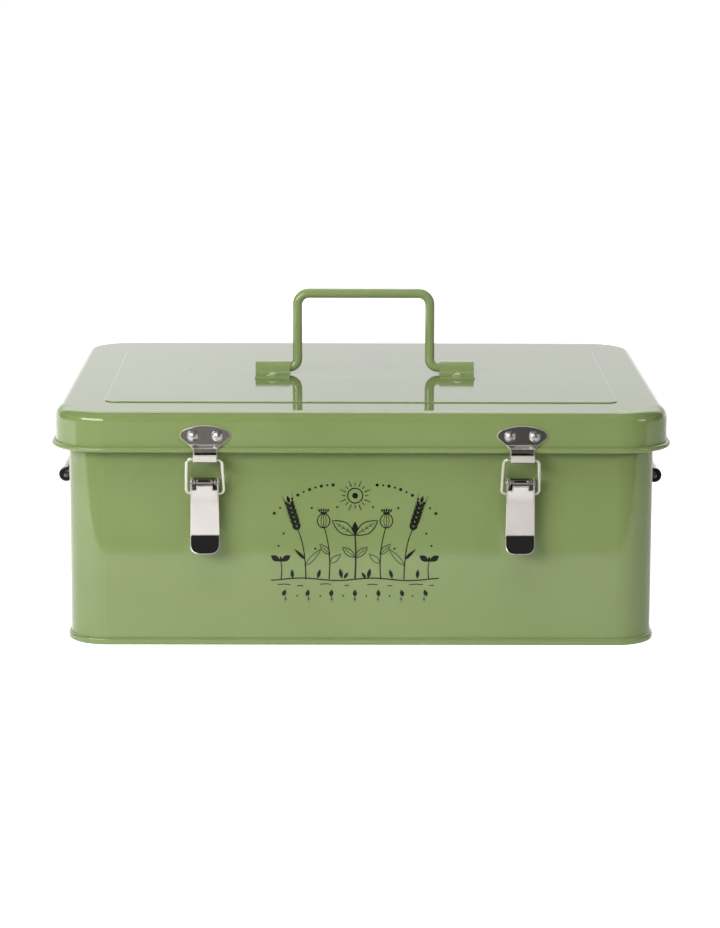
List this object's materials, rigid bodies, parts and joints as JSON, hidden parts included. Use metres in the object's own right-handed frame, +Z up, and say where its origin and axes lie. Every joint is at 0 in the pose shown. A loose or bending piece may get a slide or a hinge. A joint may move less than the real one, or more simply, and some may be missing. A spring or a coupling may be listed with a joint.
{
  "type": "garden seed organizer box",
  "caption": "Rounded rectangular enamelled steel box with a hinged lift lid, folding lid handle, drop side handles, front draw latches and an inner divider grid for seed packets.",
  "frame": {"origin": "centre of the bottom, on the plane it stands on", "axes": "+X to the right along the long side, +Y to the back (the lid's hinge side), +Z up"},
  "size_m": [0.3596, 0.2923, 0.1891],
  "materials": {
    "green_paint": "glossy sage green enamel",
    "nickel": "bright nickel plate",
    "zinc_steel": "zinc plate",
    "black_paint": "glossy black",
    "black_grip": "glossy black"
  },
  "bodies": {
    "box": {"body_wall": "green_paint", "bottom_panel": "green_paint", "divider_long_front": "green_paint", "divider_long_rear": "green_paint", "divider_cross_left": "green_paint", "divider_cross_middle": "green_paint", "divider_cross_right": "green_paint", "side_clip_left_front": "green_paint", "side_clip_left_rear": "green_paint", "side_clip_right_front": "green_paint", "side_clip_right_rear": "green_paint", "side_clip_rivets": "green_paint", "latch_base_left": "nickel", "latch_base_right": "nickel", "latch_base_rivets": "nickel", "latch_pin_left": "nickel", "latch_pin_right": "nickel", "latch_barrel_left": "nickel", "latch_barrel_right": "nickel", "hinge_leaf_body_left": "green_paint", "hinge_leaf_body_right": "green_paint", "hinge_body_rivets": "green_paint", "hinge_pin_left": "zinc_steel", "hinge_pin_right": "zinc_steel"},
    "lid": {"lid_shell": "green_paint", "lid_clip_left": "green_paint", "lid_clip_right": "green_paint", "lid_clip_rivets": "green_paint", "latch_keeper_left": "nickel", "latch_keeper_right": "nickel", "latch_keeper_rivets": "nickel", "hinge_leaf_lid_left": "green_paint", "hinge_leaf_lid_right": "green_paint", "hinge_lid_rivets": "green_paint"},
    "carry_handle": {"lid_handle": "green_paint"},
    "side_handle_left": {"side_bail_left": "black_paint", "side_grip_left": "black_grip"},
    "side_handle_right": {"side_bail_right": "black_paint", "side_grip_right": "black_grip"},
    "lever_left": {"latch_lever_left": "nickel"},
    "lever_right": {"latch_lever_right": "nickel"},
    "bail_left": {"latch_bail_left": "nickel"},
    "bail_right": {"latch_bail_right": "nickel"}
  },
  "joints": [
    {"name": "lid_hinge", "type": "hinge", "parent": "box", "child": "lid", "pos_m": [0, 0.1425, 0.1149], "axis": [-1, 0, 0], "range_deg": [0, 110]},
    {"name": "carry_handle_fold", "type": "hinge", "parent": "lid", "child": "carry_handle", "pos_m": [0.0019, 0, 0.14115], "axis": [1, 0, 0], "range_deg": [-90, 90]},
    {"name": "side_handle_left_swing", "type": "hinge", "parent": "box", "child": "side_handle_left", "pos_m": [-0.1693, 0, 0.106], "axis": [0, 1, 0], "range_deg": [0, 115]},
    {"name": "side_handle_right_swing", "type": "hinge", "parent": "box", "child": "side_handle_right", "pos_m": [0.1693, 0, 0.106], "axis": [0, -1, 0], "range_deg": [0, 115]},
    {"name": "lever_left_turn", "type": "hinge", "parent": "box", "child": "lever_left", "pos_m": [-0.0886, -0.1366, 0.0965], "axis": [-1, 0, 0], "range_deg": [0, 100]},
    {"name": "bail_left_turn", "type": "hinge", "parent": "lever_left", "child": "bail_left", "pos_m": [-0.0886, -0.1342, 0.0897], "axis": [-1, 0, 0], "range_deg": [-74, 0]},
    {"name": "lever_right_turn", "type": "hinge", "parent": "box", "child": "lever_right", "pos_m": [0.0901, -0.1366, 0.0965], "axis": [-1, 0, 0], "range_deg": [0, 100]},
    {"name": "bail_right_turn", "type": "hinge", "parent": "lever_right", "child": "bail_right", "pos_m": [0.0901, -0.1342, 0.0897], "axis": [-1, 0, 0], "range_deg": [-74, 0]}
  ],
  "couplings": [
    {"joint": "bail_left_turn", "follows": "lever_left_turn", "ratio": -0.74},
    {"joint": "bail_right_turn", "follows": "lever_right_turn", "ratio": -0.74}
  ]
}
